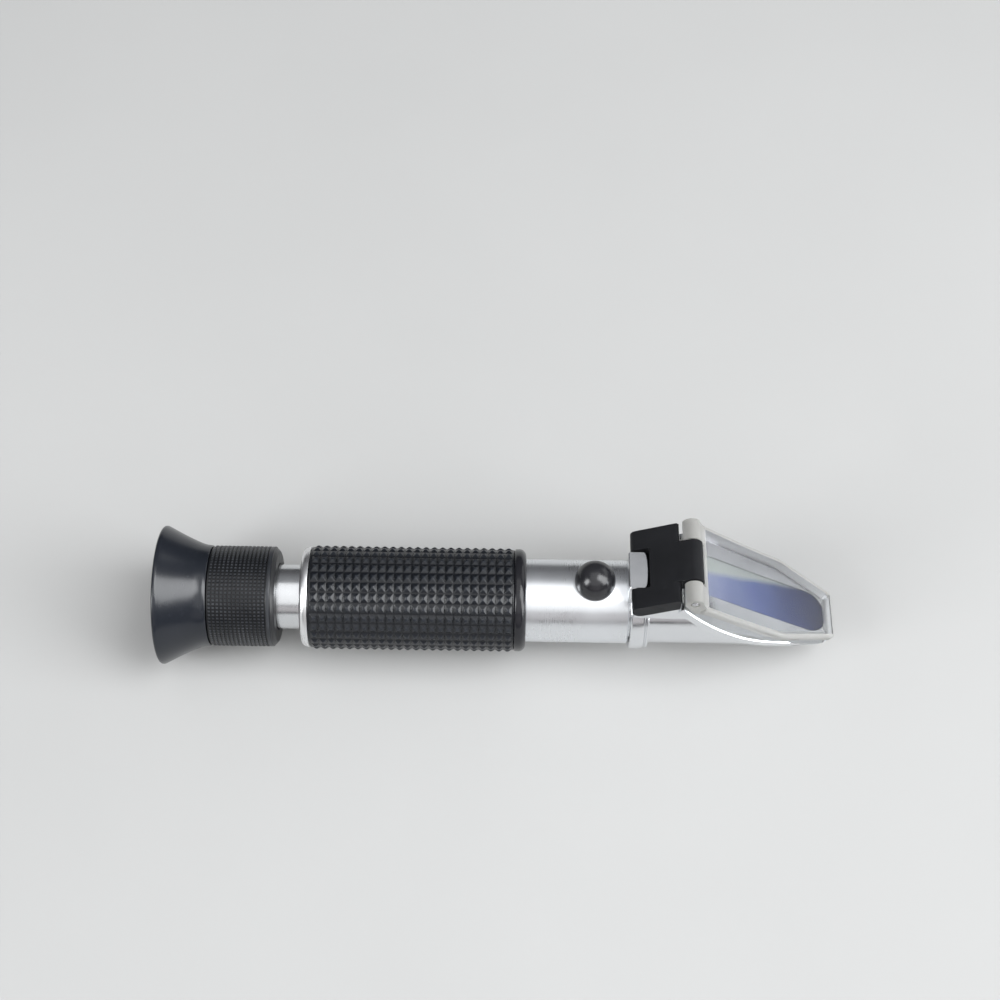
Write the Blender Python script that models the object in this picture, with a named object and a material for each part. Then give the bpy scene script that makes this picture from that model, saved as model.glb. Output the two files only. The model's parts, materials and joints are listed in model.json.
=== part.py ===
"""Handheld refractometer with automatic temperature compensation.

Objects are in metres, +Z up.  +X runs from the eyecup to the daylight plate, +Y is
to the left of somebody looking into the eyepiece.  The origin is on the ground under
the middle of the instrument.  Sizes below are millimetres: s is measured along the
optical axis from the rim of the eyecup, y across it, z is the height above it.
Names ending in _HALF are half widths, _R radii, _S0 and _S1 the two ends along s.
"""
import math

import bmesh
import bpy

# ------------------------------------------------------------------ shared sizes (mm)
EYECUP_R = 17.25              # rim, the widest part
AXIS_HEIGHT = EYECUP_R        # optical axis above the ground
MID_S = 84.11                 # s at the origin
GAP = 0.3                     # clearance between fitted pieces

# facets around the turned pieces, by size of piece
SEG_LARGE = 48
SEG_MEDIUM = 32
SEG_SMALL = 24
SEG_TINY = 16

EYETUBE_R = 8.0
EYETUBE_BORE = 7.2
COLLAR_S0, COLLAR_S1 = 34.9, 36.9
TUBE_R = 10.3
TUBE_BORE = 9.1
TUBE_S0, TUBE_S1 = COLLAR_S1 + GAP, 115.6
INSERT_R = TUBE_BORE - GAP    # pieces that fit inside the body tube
CAP_S = 107.2                 # axis of the calibration screw and its cap

FACE_TAN = 0.6494             # slope of the prism face (33 degrees)
FACE_REF_S, FACE_REF_Z = 130.0, 15.76    # a point on the prism face
HINGE_S, HINGE_Z = 130.1, 21.0
HINGE = (HINGE_S, 0.0, HINGE_Z)
PIN_R = 0.85

FACE_TILT = math.atan(FACE_TAN)
FACE_NORMAL_S, FACE_NORMAL_Z = math.sin(FACE_TILT), math.cos(FACE_TILT)


def face_z(s):
    """Height of the prism face at s."""
    return FACE_REF_Z - FACE_TAN * (s - FACE_REF_S)


def off_face(s, distance):
    """The (s, z) point at a distance square to the prism face, starting from s on it."""
    return s + FACE_NORMAL_S * distance, face_z(s) + FACE_NORMAL_Z * distance


# -------------------------------------------------------------------------- materials
LOOKS = {
    "eyecup_rubber": dict(colour=(0.030, 0.034, 0.042), roughness=0.55),
    "grip_rubber": dict(colour=(0.020, 0.023, 0.028), roughness=0.42),
    "cap_rubber": dict(colour=(0.012, 0.012, 0.014), roughness=0.18),
    "black_metal": dict(colour=(0.014, 0.015, 0.018), roughness=0.40, metallic=0.6),
    "gloss_black": dict(colour=(0.010, 0.010, 0.012), roughness=0.12),
    "chrome": dict(colour=(0.78, 0.80, 0.84), roughness=0.16, metallic=1.0),
    "inner_aluminium": dict(colour=(0.45, 0.46, 0.48), roughness=0.35, metallic=1.0),
    "glass": dict(colour=(0.90, 0.95, 0.97), roughness=0.02, transmission=1.0),
    "prism_glass": dict(colour=(0.30, 0.42, 0.75), roughness=0.03, transmission=0.8),
    "plate_acrylic": dict(colour=(0.80, 0.83, 0.86), roughness=0.25, transmission=0.7),
    "steel": dict(colour=(0.60, 0.60, 0.62), roughness=0.25, metallic=1.0),
    "brass": dict(colour=(0.70, 0.52, 0.22), roughness=0.30, metallic=1.0),
    "seal_rubber": dict(colour=(0.05, 0.05, 0.05), roughness=0.60),
}


def make_material(name, colour, roughness, metallic=0.0, transmission=0.0):
    material = bpy.data.materials.new(name)
    material.use_nodes = True
    inputs = material.node_tree.nodes["Principled BSDF"].inputs
    inputs["Base Color"].default_value = (*colour, 1.0)
    inputs["Roughness"].default_value = roughness
    inputs["Metallic"].default_value = metallic
    inputs["Transmission Weight"].default_value = transmission
    material.diffuse_color = (*colour, 1.0)
    return material


for old in list(bpy.data.objects):
    bpy.data.objects.remove(old)
MATERIALS = {name: make_material(name, **look) for name, look in LOOKS.items()}


# --------------------------------------------------------------------------- outlines
def rectangle(start, end, low, high):
    return [(start, low), (start, high), (end, high), (end, low)]


def arc(centre_a, centre_b, radius, from_deg, to_deg, steps):
    angles = [math.radians(from_deg + (to_deg - from_deg) * i / steps)
              for i in range(steps + 1)]
    return [(centre_a + radius * math.cos(t), centre_b + radius * math.sin(t))
            for t in angles]


def mirrored(half):
    """Closes a half outline of (s, y) with its mirror image across y = 0."""
    return half + [(s, -y) for s, y in reversed(half)]


def prism_plan(s0, s1, half_width):
    """An (s, y) outline, square at s0 and half round at s1."""
    return ([(s0, -half_width)]
            + arc(s1 - half_width, 0.0, half_width, -90, 90, 8)
            + [(s0, half_width)])


# --------------------------------------------------------- meshes, still in s, y, z mm
def lathe(profile, seg=SEG_LARGE, axis="X", centre=(0.0, 0.0, 0.0)):
    """Turns a closed profile of (along, radius) points about an axis through centre."""
    centre_s, centre_y, centre_z = centre

    def place(along, u, v):
        if axis == "X":
            return centre_s + along, centre_y + u, centre_z + v
        if axis == "Y":
            return centre_s + v, centre_y + along, centre_z + u
        return centre_s + u, centre_y + v, centre_z + along

    bm = bmesh.new()
    rings = []
    for along, radius in profile:
        if radius < 1e-6:
            rings.append([bm.verts.new(place(along, 0.0, 0.0))] * seg)
            continue
        turns = [2 * math.pi * i / seg for i in range(seg)]
        rings.append([bm.verts.new(place(along, radius * math.cos(t), radius * math.sin(t)))
                      for t in turns])
    for ring, following in zip(rings, rings[1:] + rings[:1]):
        for i in range(seg):
            j = (i + 1) % seg
            # points on the axis are shared, which leaves triangles or nothing
            corners = list(dict.fromkeys((ring[i], ring[j], following[j], following[i])))
            if len(corners) > 2:
                bm.faces.new(corners)
    return bm


def ring_mesh(s0, s1, bore, radius, seg):
    return lathe(rectangle(s0, s1, bore, radius), seg)


def upright_rod(s, bottom, top, radius, seg, y=0.0):
    return lathe(rectangle(bottom, top, 0.0, radius), seg, "Z", (s, y, 0.0))


def hinge_bore():
    """Hole for the hinge pin, longer than the pieces are wide."""
    return lathe(rectangle(-12, 12, 0.0, PIN_R + GAP), SEG_SMALL, "Y", HINGE)


def bridge(first, second):
    """A solid between two matching outlines of 3D points."""
    bm = bmesh.new()
    start = [bm.verts.new(p) for p in first]
    end = [bm.verts.new(p) for p in second]
    bm.faces.new(start)
    bm.faces.new(end[::-1])
    for i in range(len(start)):
        j = (i + 1) % len(start)
        bm.faces.new((start[i], end[i], end[j], start[j]))
    return bm


def extrude_y(points, y0, y1):
    """An outline of (s, z) extruded across the instrument."""
    return bridge([(s, y0, z) for s, z in points], [(s, y1, z) for s, z in points])


def extrude_z(points, z0, z1):
    """An outline of (s, y) extruded upwards."""
    return bridge([(s, y, z0) for s, y in points], [(s, y, z1) for s, y in points])


def extrude_face(points, near, far):
    """An outline of (s, y) on the prism face, given thickness square to that face."""
    def layer(distance):
        placed = []
        for s, y in points:
            shifted_s, z = off_face(s, distance)
            placed.append((shifted_s, y, z))
        return placed
    return bridge(layer(near), layer(far))


# ---------------------------------------------------------------------------- objects
def to_world(origin):
    s, y, z = origin
    return (s - MID_S) / 1000.0, y / 1000.0, (z + AXIS_HEIGHT) / 1000.0


def add_object(name, data, origin):
    ob = bpy.data.objects.new(name, data)
    bpy.context.scene.collection.objects.link(ob)
    ob.location = to_world(origin)
    return ob


def add_mesh(name, bm, origin=(MID_S, 0.0, -AXIS_HEIGHT), parent=None):
    """Turns bm (millimetres, in s, y, z) into an object in metres."""
    bmesh.ops.remove_doubles(bm, verts=bm.verts, dist=1e-5)
    bmesh.ops.recalc_face_normals(bm, faces=bm.faces)
    for v in bm.verts:
        v.co = [(value - zero) / 1000.0 for value, zero in zip(v.co, origin)]
    mesh = bpy.data.meshes.new(name)
    bm.to_mesh(mesh)
    bm.free()
    ob = add_object(name, mesh, origin)
    if parent is not None:
        ob.location = ob.location - parent.location
        ob.parent = parent
    return ob


def add_piece(name, bm, material, sharp_deg=35.0, **place):
    """A piece of the model; place may give its origin and parent."""
    ob = add_mesh(name, bm, **place)
    ob.data.materials.append(MATERIALS[material])
    ob.data.shade_smooth()
    ob.data.set_sharp_from_angle(angle=math.radians(sharp_deg))
    return ob


def add_helper(name, bm):
    """A cutter, or a lump to be joined to a piece: never part of the model."""
    ob = add_mesh("tool_" + name, bm)
    ob.hide_render = True
    ob.display_type = "WIRE"
    return ob


def boolean(ob, helper, operation):
    modifier = ob.modifiers.new(operation.lower() + "_" + helper.name, "BOOLEAN")
    modifier.operation = operation
    modifier.object = helper
    modifier.solver = "EXACT"


def cut(ob, name, bm):
    boolean(ob, add_helper(name, bm), "DIFFERENCE")


def join(ob, name, bm):
    boolean(ob, add_helper(name, bm), "UNION")


def keep_inside(ob, name, bm):
    boolean(ob, add_helper(name, bm), "INTERSECT")


def add_axis(name, origin):
    """An empty that carries moving pieces: the placing shared by those pieces."""
    return dict(origin=origin, parent=add_object(name, None, origin))


def add_lens(name, s0, edge, radius, eye_bulge, far_bulge, place):
    """A lens whose rim runs from s0 for the edge thickness, with two domed faces."""
    steps = 4
    fractions = [i / steps for i in range(steps + 1)]
    profile = [(s0 - eye_bulge * (1 - q * q), radius * q) for q in fractions]
    profile += [(s0 + edge + far_bulge * (1 - q * q), radius * q)
                for q in reversed(fractions)]
    add_piece(name, lathe(profile, SEG_SMALL), "glass", **place)


# ---------------------------------------------- eyepiece: moves in and out, and turns
EYECUP_LEN = 12.0
FOCUS_NOSE_R = 10.25          # part of the focus ring inside the cup
FOCUS_R = 12.5
FOCUS_S0, FOCUS_S1 = EYECUP_LEN + GAP, 28.9
FOCUS_LIP_R = 7.8             # small bore at the eye end of the focus ring
BARREL_R = EYETUBE_BORE - GAP
BARREL_BORE = 6.2
BARREL_S1 = 38.0

on_lens_axis = add_axis("lens_cell_axis", (20.0, 0.0, 0.0))

# soft cup: flared skirt, flat rim, funnel inside, neck over the focus ring nose
EYECUP_PROFILE = [            # s, radius
    (0.0, 15.6), (0.0, 16.9), (0.35, EYECUP_R), (1.1, EYECUP_R), (2.2, 16.55),
    (5.6, 14.75), (9.2, 13.15), (10.4, 12.75), (11.1, 12.65), (EYECUP_LEN, 12.5),
    (EYECUP_LEN, FOCUS_NOSE_R + GAP), (6.9, FOCUS_NOSE_R + GAP), (6.9, 9.9), (5.6, 9.9),
    (5.6, 9.3), (4.0, 10.6), (1.6, 13.9), (0.5, 15.3)]
add_piece("eyecup", lathe(EYECUP_PROFILE), "eyecup_rubber", **on_lens_axis)

# focus ring: nose inside the cup, wide band, bore over the eyepiece tube
FOCUS_PROFILE = [             # s, radius
    (7.2, FOCUS_LIP_R), (7.2, 10.1), (7.4, FOCUS_NOSE_R), (FOCUS_S0, FOCUS_NOSE_R),
    (FOCUS_S0, 12.0), (12.7, FOCUS_R), (26.9, FOCUS_R), (27.2, 12.2), (28.2, 12.2),
    (FOCUS_S1, 11.4), (FOCUS_S1, EYETUBE_R + GAP), (14.2, EYETUBE_R + GAP),
    (14.2, FOCUS_LIP_R)]
add_piece("focus_ring", lathe(FOCUS_PROFILE), "black_metal", **on_lens_axis)

# sliding lens cell that carries both eyepiece lenses
BARREL_PROFILE = [            # s, radius
    (6.4, 6.6), (6.4, 7.2), (6.7, 7.4), (13.9, 7.4), (13.9, BARREL_R),
    (BARREL_S1, BARREL_R), (BARREL_S1, BARREL_BORE), (36.0, BARREL_BORE), (36.0, 5.2),
    (34.8, 5.2), (34.8, BARREL_BORE), (11.8, BARREL_BORE), (11.8, 5.4), (11.2, 5.4),
    (11.2, 6.6)]
barrel = add_piece("eyepiece_barrel", lathe(BARREL_PROFILE), "inner_aluminium",
                   **on_lens_axis)

add_lens("eye_lens", s0=8.9, edge=1.4, radius=6.2, eye_bulge=0.35, far_bulge=0.55,
         place=on_lens_axis)
LENS_RETAINER_PROFILE = [(6.9, 5.2), (6.9, 6.3), (8.4, 6.3), (8.4, 5.6)]    # s, radius
add_piece("lens_retaining_ring", lathe(LENS_RETAINER_PROFILE, SEG_SMALL), "black_metal",
          **on_lens_axis)
add_piece("lens_spacer", ring_mesh(s0=13.2, s1=31.3, bore=5.2, radius=5.9, seg=SEG_SMALL),
          "black_metal", **on_lens_axis)
add_lens("field_lens", s0=32.3, edge=1.2, radius=5.8, eye_bulge=0.5, far_bulge=0.35,
         place=on_lens_axis)
add_piece("barrel_o_ring",
          ring_mesh(s0=38.4, s1=39.0, bore=6.25, radius=6.85, seg=SEG_SMALL),
          "seal_rubber", **on_lens_axis)

# ---------------------------------------------------------------------- eyepiece tube
EYETUBE_S0 = 17.7             # eye end, hidden inside the focus ring
EYETUBE_CHAMFER = 0.3
EYETUBE_FLANGE_S0, EYETUBE_FLANGE_S1 = 38.2, 43.4    # wide end inside the body tube
KEY_S = 33.2
KEY_HOLE_R = 0.95             # also half the width of the slot in the barrel
KEY_SLOT_REACH = 4.2          # slot length each way from the screw

EYETUBE_PROFILE = [           # s, radius
    (EYETUBE_S0, EYETUBE_BORE), (EYETUBE_S0, EYETUBE_R - EYETUBE_CHAMFER),
    (EYETUBE_S0 + EYETUBE_CHAMFER, EYETUBE_R), (EYETUBE_FLANGE_S0, EYETUBE_R),
    (EYETUBE_FLANGE_S0, INSERT_R), (EYETUBE_FLANGE_S1, INSERT_R),
    (EYETUBE_FLANGE_S1, EYETUBE_BORE)]
eyetube = add_piece("eyepiece_tube", lathe(EYETUBE_PROFILE), "chrome")

# cross screw below the axis that keeps the lens cell from turning, in its slot
cut(eyetube, "key_hole",
    upright_rod(KEY_S, bottom=-8.6, top=-6.6, radius=KEY_HOLE_R, seg=SEG_TINY))
cut(barrel, "key_slot",
    extrude_y(rectangle(KEY_S - KEY_SLOT_REACH, KEY_S + KEY_SLOT_REACH, -7.6, -6.45),
              -KEY_HOLE_R, KEY_HOLE_R))
add_piece("barrel_key_screw",
          upright_rod(KEY_S, bottom=-7.75, top=-6.75, radius=0.62, seg=SEG_TINY), "steel")

# ----------------------------------------------------------------------- grip section
GRIP_R = 12.9
GRIP_S0, GRIP_S1 = TUBE_S0, 87.2
END_RING_R = 12.75
END_RING_S0, END_RING_S1 = GRIP_S1 + GAP, 90.4

COLLAR_PROFILE = [            # s, radius
    (COLLAR_S0, EYETUBE_R + GAP), (COLLAR_S0, 11.2), (35.1, 11.7), (35.6, 12.15),
    (36.2, 12.4), (COLLAR_S1, 12.45), (COLLAR_S1, EYETUBE_R + GAP)]
add_piece("grip_collar", lathe(COLLAR_PROFILE), "chrome")
add_piece("rubber_grip", ring_mesh(GRIP_S0, GRIP_S1, TUBE_R + GAP, GRIP_R, SEG_LARGE),
          "grip_rubber")
END_RING_PROFILE = [          # s, radius
    (END_RING_S0, TUBE_R + GAP), (END_RING_S0, 12.45), (GRIP_S1 + 0.6, END_RING_R),
    (89.3, END_RING_R), (90.0, 12.3), (END_RING_S1, 11.6), (END_RING_S1, TUBE_R + GAP)]
add_piece("grip_end_ring", lathe(END_RING_PROFILE), "gloss_black")

# -------------------------------------------------------------------------- body tube
body_tube = add_piece("body_tube", ring_mesh(TUBE_S0, TUBE_S1, TUBE_BORE, TUBE_R, SEG_LARGE),
                      "chrome")
cut(body_tube, "cap_hole",
    upright_rod(CAP_S, bottom=7.0, top=11.5, radius=2.9, seg=SEG_SMALL))

# --------------------------------------------------- reticle and stops, in the tube
TUBE_RINGS = [                # name, s0, s1, bore, radius, material
    ("field_stop", 45.0, 45.6, 5.6, INSERT_R, "black_metal"),
    ("reticle", 47.5, 48.7, 0.0, 7.3, "glass"),
    ("reticle_retaining_ring", 49.1, 51.0, 6.2, 7.4, "black_metal"),
]
for name, s0, s1, bore, radius, material_name in TUBE_RINGS:
    add_piece(name, ring_mesh(s0, s1, bore, radius, SEG_MEDIUM), material_name)

RETICLE_HOLDER_PROFILE = [    # s, radius
    (46.0, 6.2), (46.0, INSERT_R), (52.0, INSERT_R), (52.0, 7.7), (47.2, 7.7), (47.2, 6.2)]
add_piece("reticle_holder", lathe(RETICLE_HOLDER_PROFILE, SEG_MEDIUM), "inner_aluminium")
BAFFLE_PROFILE = [            # s, radius
    (70.0, 6.0), (70.0, INSERT_R), (75.0, INSERT_R), (75.0, 8.2), (70.6, 8.2), (70.6, 6.0)]
add_piece("light_baffle", lathe(BAFFLE_PROFILE, SEG_MEDIUM), "black_metal")

# ----------------------------------------------- temperature compensation: the strip
STRIP_SCREW_S = 84.0
STRIP_HOLE_R = 0.85

compensator = add_piece(
    "compensator_ring", ring_mesh(s0=82.0, s1=86.0, bore=6.9, radius=INSERT_R, seg=SEG_MEDIUM),
    "inner_aluminium")
cut(compensator, "strip_seat",
    extrude_y(rectangle(start=81.0, end=87.0, low=5.9, high=9.4), -3.1, 3.1))
clamp = add_piece(
    "strip_clamp_block",
    extrude_y(rectangle(start=82.3, end=85.7, low=4.0, high=6.4), -2.6, 2.6),
    "inner_aluminium")
cut(clamp, "clamp_hole",
    upright_rod(STRIP_SCREW_S, bottom=5.0, top=7.0, radius=STRIP_HOLE_R, seg=SEG_TINY))
strip = add_piece(
    "bimetal_strip",
    extrude_y(rectangle(start=82.4, end=100.6, low=6.75, high=7.05), -2.5, 2.5), "brass")
cut(strip, "strip_hole",
    upright_rod(STRIP_SCREW_S, bottom=6.0, top=7.7, radius=STRIP_HOLE_R, seg=SEG_TINY))
STRIP_SCREW_PROFILE = [       # z, radius
    (5.2, 0), (5.2, 0.55), (7.4, 0.55), (7.4, 1.5), (8.1, 1.5), (8.1, 0)]
add_piece("bimetal_screw",
          lathe(STRIP_SCREW_PROFILE, SEG_TINY, "Z", (STRIP_SCREW_S, 0.0, 0.0)), "steel")

# ------------------------------------------------------- objective and its adjustment
on_adjuster = add_axis("adjuster_axis", (CAP_S, 0.0, 0.0))

CARRIAGE_PROFILE = [          # s, radius
    (102.0, 5.0), (102.0, 7.9), (111.6, 7.9), (111.6, 5.9), (103.2, 5.9), (103.2, 5.0)]
carriage = add_piece("objective_carriage", lathe(CARRIAGE_PROFILE, SEG_MEDIUM),
                     "inner_aluminium", **on_adjuster)
cut(carriage, "screw_seat",
    upright_rod(CAP_S, bottom=5.4, top=8.6, radius=1.35, seg=SEG_TINY))
add_lens("objective_lens", s0=104.2, edge=1.8, radius=5.55, eye_bulge=0.4, far_bulge=0.9,
         place=on_adjuster)

# leaf spring under the carriage that takes up the slack of the screw
SPRING_S0 = 101.0
SPRING_STEPS, SPRING_PITCH = 9, 1.2
SPRING_RISE = 0.22
SPRING_HALF = 1.2


def spring_edge(z):
    return [(SPRING_S0 + SPRING_PITCH * i, z + SPRING_RISE * math.sin(math.pi * i / SPRING_STEPS))
            for i in range(SPRING_STEPS + 1)]


add_piece("return_spring",
          extrude_y(spring_edge(-8.72) + spring_edge(-8.52)[::-1], -SPRING_HALF, SPRING_HALF),
          "steel")

CALIBRATION_SCREW_PROFILE = [    # z, radius
    (6.2, 0), (6.2, 1.0), (9.2, 1.0), (9.2, 1.7), (9.4, 1.9), (10.9, 1.9), (11.1, 1.7),
    (11.1, 0)]
calibration_screw = add_piece(
    "calibration_screw",
    lathe(CALIBRATION_SCREW_PROFILE, SEG_SMALL, "Z", (CAP_S, 0.0, 0.0)),
    "brass", **on_adjuster)
cut(calibration_screw, "driver_slot",
    extrude_y(rectangle(CAP_S - 2.4, CAP_S + 2.4, 10.4, 11.6), -0.3, 0.3))

# ------------------------------------------------------ rubber dome over the adjuster
CAP_Z, CAP_R = 11.1, 5.0      # centre height and radius of the ball
CAP_UNDER = 0.62              # radians the ball carries on below its widest circle
CAP_STEPS = 14
SADDLE_REACH = 9              # each way along s, beyond the cap

dome = arc(CAP_Z, 0.0, CAP_R, 0, 90 + math.degrees(CAP_UNDER), CAP_STEPS)    # z, radius
cap = add_piece(
    "calibration_cap",
    lathe(dome + [(dome[-1][0], 0.0)], SEG_SMALL, "Z", (CAP_S, 0.0, 0.0)),
    "cap_rubber", origin=(CAP_S, 0.0, CAP_Z))
cut(cap, "tube_saddle",
    ring_mesh(CAP_S - SADDLE_REACH, CAP_S + SADDLE_REACH, 0.0, TUBE_R + GAP, SEG_LARGE))
join(cap, "cap_stem", upright_rod(CAP_S, bottom=9.7, top=12.6, radius=2.6, seg=SEG_SMALL))
cut(cap, "cap_hollow", upright_rod(CAP_S, bottom=9.0, top=12.2, radius=2.2, seg=SEG_SMALL))

# ---------------------------------------------------------------------- prism housing
HOUSING_S0 = 113.0            # spigot end, inside the body tube
HOUSING_R = 10.0
HOUSING_BORE = 7.4
BORE_END_S = 136.5
RIM_R = 11.6                  # collar against the body tube
RIM_S0, RIM_S1 = 116.0, 120.6
TIP_S = 167.6                 # flat cut end
TIP_CHAMFER = 0.4
PEDESTAL_HALF = 8.6
TOWER_HALF = 5.1
TOWER_S1 = 119.6

HOUSING_PROFILE = [           # s, radius
    (HOUSING_S0, HOUSING_BORE), (HOUSING_S0, INSERT_R), (RIM_S0, INSERT_R),
    (RIM_S0, RIM_R - 0.3), (RIM_S0 + 0.3, RIM_R), (119.6, RIM_R), (119.7, 11.25),
    (119.9, 11.25), (120.0, RIM_R - 0.1), (RIM_S1, 11.2), (RIM_S1, HOUSING_R),
    (TIP_S - TIP_CHAMFER, HOUSING_R), (TIP_S, HOUSING_R - TIP_CHAMFER), (TIP_S, 0.0),
    (BORE_END_S, 0.0), (BORE_END_S, HOUSING_BORE)]
housing = add_piece("prism_housing", lathe(HOUSING_PROFILE), "chrome", sharp_deg=30.0)

PEDESTAL_OUTLINE = [          # s, z
    (116.6, 8.6), (116.6, 12.3), (126.6, 16.85), (127.6, 17.2),
    (139.0, face_z(139.0) - 0.4), (141.0, 8.0)]
join(housing, "pedestal", extrude_y(PEDESTAL_OUTLINE, -PEDESTAL_HALF, PEDESTAL_HALF))
TOWER_OUTLINE = [             # s, z
    (115.0, 10.8), (115.0, 17.0), (115.3, 17.3), (TOWER_S1, 17.3), (TOWER_S1, 12.0)]
join(housing, "tower", extrude_y(TOWER_OUTLINE, -TOWER_HALF, TOWER_HALF))

# slanted oval flange that the daylight plate lies on
FLANGE_HALF_OUTLINE = [       # s, y
    (127.9, 10.4), (129.6, 11.3), (132.0, 12.1), (135.0, 12.8), (138.5, 13.2),
    (142.0, 13.25), (145.5, 12.9), (149.0, 12.2), (153.0, 11.1), (157.0, 9.8),
    (161.0, 8.3), (164.5, 6.8), (166.6, 5.5), (TIP_S, 4.2)]
join(housing, "flange", extrude_face(mirrored(FLANGE_HALF_OUTLINE), -2.6, 0.6))

# everything above the slanted face goes
CUT_S0, CUT_S1, CUT_TOP = 127.75, 180.0, 40.0
cut(housing, "face_cut", extrude_y([
    (CUT_S0, face_z(CUT_S0)), (CUT_S1, face_z(CUT_S1)), (CUT_S1, CUT_TOP),
    (CUT_S0, CUT_TOP)], -20, 20))

# measuring prism and the pocket it sits in
PRISM_HALF = 5.1
PRISM_S0, PRISM_S1 = 133.2, 165.4
PRISM_END_GAP = 0.4           # clearance at each end of the prism
TRIM_HALF = 10                # side-view trims reach past the prism
POCKET_SIDE = [               # s, z
    (130.0, 40.0), (130.0, 9.5), (132.9, 9.5), (136.4, 6.7), (136.4, -9.0), (170.0, -9.0),
    (170.0, 40.0)]
PRISM_SIDE = [                # s, z
    (133.0, face_z(133.0)), (165.5, face_z(165.5)), (165.5, -7.4), (136.9, -7.4),
    (136.9, 6.9), (133.0, 9.9)]

pocket_plan = prism_plan(PRISM_S0 - PRISM_END_GAP, PRISM_S1 + PRISM_END_GAP, PRISM_HALF + GAP)
pocket = add_helper("prism_pocket", extrude_z(pocket_plan, -7.8, 30.0))
keep_inside(pocket, "pocket_top", extrude_y(POCKET_SIDE, -TRIM_HALF, TRIM_HALF))
boolean(housing, pocket, "DIFFERENCE")

prism = add_piece("measuring_prism",
                  extrude_z(prism_plan(PRISM_S0, PRISM_S1, PRISM_HALF), -9.0, 20.0),
                  "prism_glass")
keep_inside(prism, "prism_profile", extrude_y(PRISM_SIDE, -TRIM_HALF, TRIM_HALF))

add_piece("prism_seal", ring_mesh(s0=135.4, s1=136.3, bore=5.4, radius=7.1, seg=SEG_MEDIUM),
          "seal_rubber")
add_piece("housing_o_ring",
          ring_mesh(s0=111.8, s1=112.7, bore=7.6, radius=8.7, seg=SEG_MEDIUM), "seal_rubber")

# ---------------------------------------------------------------------- hinge bracket
BRACKET_HALF = 10.6
TAB_HALF = 5.4                # middle knuckle
TAB_R = 2.5
NOTCH_HALF = TOWER_HALF + GAP
NOTCH_S1 = TOWER_S1 + GAP

# side view, with a round nose at the eye end
BRACKET_OUTLINE = [           # s, z
    (118.2, 13.52), (126.75, 17.45), (127.0, 18.0), (127.0, 21.2), (126.4, 21.75),
    (125.9, 21.6)] + arc(117.75, 15.6, 2.15, 118, 262, 7)
bracket = add_piece("hinge_bracket", extrude_y(BRACKET_OUTLINE, -BRACKET_HALF, BRACKET_HALF),
                    "black_metal")
TAB_OUTLINE = [               # s, z
    (124.5, 17.5), (127.0, 18.0), (HINGE_S, HINGE_Z - TAB_R),
    *arc(HINGE_S, HINGE_Z, TAB_R, -80, 100, 10), (126.4, 22.1), (124.5, 20.9)]
join(bracket, "tab", extrude_y(TAB_OUTLINE, -TAB_HALF, TAB_HALF))
# room for the tower of the housing
cut(bracket, "notch", extrude_y([
    (110.0, 10.0), (NOTCH_S1, 10.0), (NOTCH_S1, 25.0), (110.0, 25.0)],
    -NOTCH_HALF, NOTCH_HALF))
cut(bracket, "bracket_pin_hole", hinge_bore())

soft_edges = bracket.modifiers.new("soft_edges", "BEVEL")
soft_edges.width = 0.25 / 1000.0
soft_edges.segments = 1
soft_edges.limit_method = "ANGLE"
soft_edges.angle_limit = math.radians(40.0)

PIN_HALF = 11.2               # half length
PIN_CHAMFER = 0.15
PIN_PROFILE = [               # y, radius
    (-PIN_HALF, 0), (-PIN_HALF, PIN_R - PIN_CHAMFER), (-PIN_HALF + PIN_CHAMFER, PIN_R),
    (PIN_HALF - PIN_CHAMFER, PIN_R), (PIN_HALF, PIN_R - PIN_CHAMFER), (PIN_HALF, 0)]
add_piece("hinge_pin", lathe(PIN_PROFILE, SEG_SMALL, "Y", HINGE), "steel")

# hidden fasteners between bracket and housing: one screw from inside, two dowels
SCREW_S = 122.8
SCREW_HOLE_R = 1.45
DOWEL_S, DOWEL_Y = 121.5, 7.1
DOWEL_R = 0.8
DOWEL_HOLE_R = DOWEL_R + GAP

cut(housing, "screw_way",
    upright_rod(SCREW_S, bottom=5.0, top=18.0, radius=SCREW_HOLE_R, seg=SEG_SMALL))
cut(bracket, "screw_blind",
    upright_rod(SCREW_S, bottom=10.0, top=18.2, radius=SCREW_HOLE_R, seg=SEG_SMALL))
BRACKET_SCREW_PROFILE = [     # z, radius
    (4.9, 0), (4.9, 2.2), (6.4, 2.2), (6.4, 1.1), (17.6, 1.1), (17.6, 0)]
add_piece("bracket_screw",
          lathe(BRACKET_SCREW_PROFILE, SEG_SMALL, "Z", (SCREW_S, 0.0, 0.0)), "steel")
for side, y in (("left", DOWEL_Y), ("right", -DOWEL_Y)):
    cut(housing, "dowel_low_" + side,
        upright_rod(DOWEL_S, bottom=9.2, top=18.0, radius=DOWEL_HOLE_R, seg=SEG_TINY, y=y))
    cut(bracket, "dowel_high_" + side,
        upright_rod(DOWEL_S, bottom=10.0, top=17.4, radius=DOWEL_HOLE_R, seg=SEG_TINY, y=y))
    add_piece("bracket_dowel_" + side,
              upright_rod(DOWEL_S, bottom=9.6, top=17.0, radius=DOWEL_R, seg=SEG_TINY, y=y),
              "steel")

# --------------------------------------------------------------------- daylight plate
PLATE_S0 = 130.3
PLATE_T = 2.5
PLATE_HALF = 11.6             # at the hinge
PLATE_MID_HALF = 10.95        # where it starts to narrow
PLATE_TIP_HALF = 6.2
PLATE_TOP = GAP + PLATE_T     # upper surface, square to the prism face
ROOT_T = 1.8                  # extra thickness at the hinge end
ROOT_HALF = PLATE_HALF - 0.7
KNUCKLE_R = 2.2
KNUCKLE_INNER_Y, KNUCKLE_OUTER_Y = 5.75, 11.25

on_plate_axis = add_axis("plate_hinge_axis", HINGE)

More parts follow.
